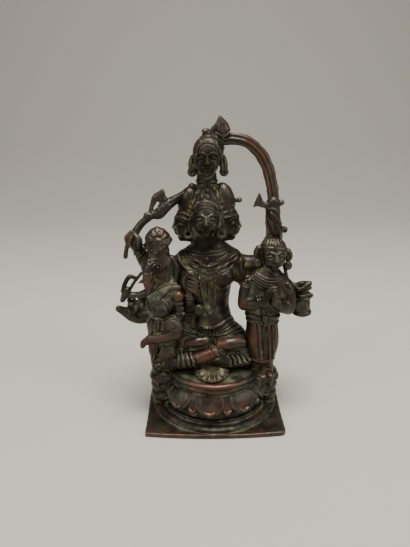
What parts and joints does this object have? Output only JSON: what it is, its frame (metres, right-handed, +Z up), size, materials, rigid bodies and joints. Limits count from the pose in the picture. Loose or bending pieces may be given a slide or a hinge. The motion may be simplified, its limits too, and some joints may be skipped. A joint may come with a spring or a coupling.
{
  "type": "bronze deity statue",
  "caption": "Small cast bronze of a many-headed seated deity on a lotus seat and square plinth, with an elephant-headed figure, an attendant and a stream in an arch.",
  "frame": {"origin": "middle of the square plinth's flat underside", "axes": "+Z up, the statue's front faces -Y and +X is to the right seen from the front"},
  "size_m": [0.0935, 0.0671, 0.1411],
  "materials": {
    "bronze": "dark brown patina, satin, worn reddish on the high points and olive green in the recesses"
  },
  "bodies": {
    "root": {"bronze_statue": "bronze"}
  },
  "joints": []
}
